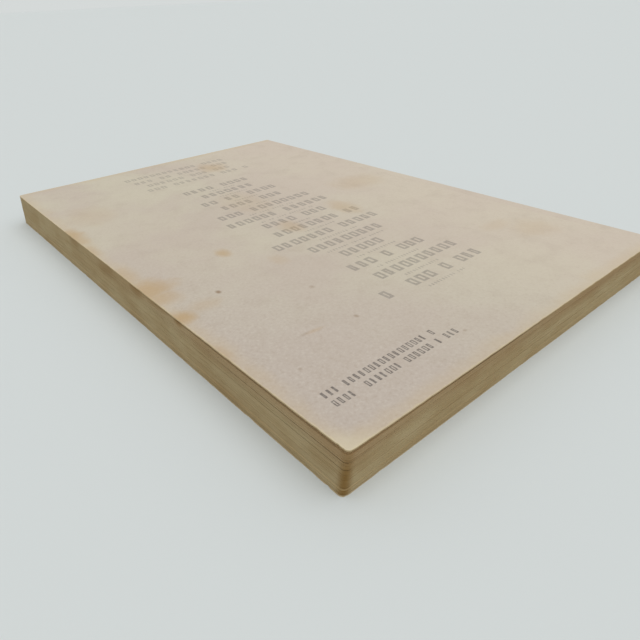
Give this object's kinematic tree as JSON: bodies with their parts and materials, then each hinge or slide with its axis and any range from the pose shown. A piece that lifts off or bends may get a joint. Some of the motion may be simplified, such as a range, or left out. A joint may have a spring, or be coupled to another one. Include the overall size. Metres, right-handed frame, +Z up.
{
  "type": "paperback book",
  "caption": "Thin, aged, perfect-bound paperback with pages trimmed flush, lying on its front cover; the covers fold open at the creases beside the spine.",
  "frame": {"origin": "middle of the underside, on the outer face of the front cover", "axes": "+X from the fore edge to the spine, +Y from the tail to the head, +Z up out of the back cover"},
  "size_m": [0.1279, 0.1978, 0.0114],
  "materials": {
    "cover_card": "matte",
    "page_paper": "matte",
    "binding_glue": "satin"
  },
  "bodies": {
    "book": {"text_block": "page_paper", "spine_glue": "binding_glue", "cover_spine": "cover_card"},
    "back_cover": {"back_cover": "cover_card"},
    "front_cover": {"front_cover": "cover_card"}
  },
  "joints": [
    {"name": "back_cover_fold", "type": "hinge", "parent": "book", "child": "back_cover", "pos_m": [0.05945, 0, 0.0114], "axis": [0, 1, 0], "range_deg": [0, 180]},
    {"name": "front_cover_fold", "type": "hinge", "parent": "book", "child": "front_cover", "pos_m": [0.05855, 0, 0], "axis": [0, -1, 0], "range_deg": [0, 180]}
  ]
}
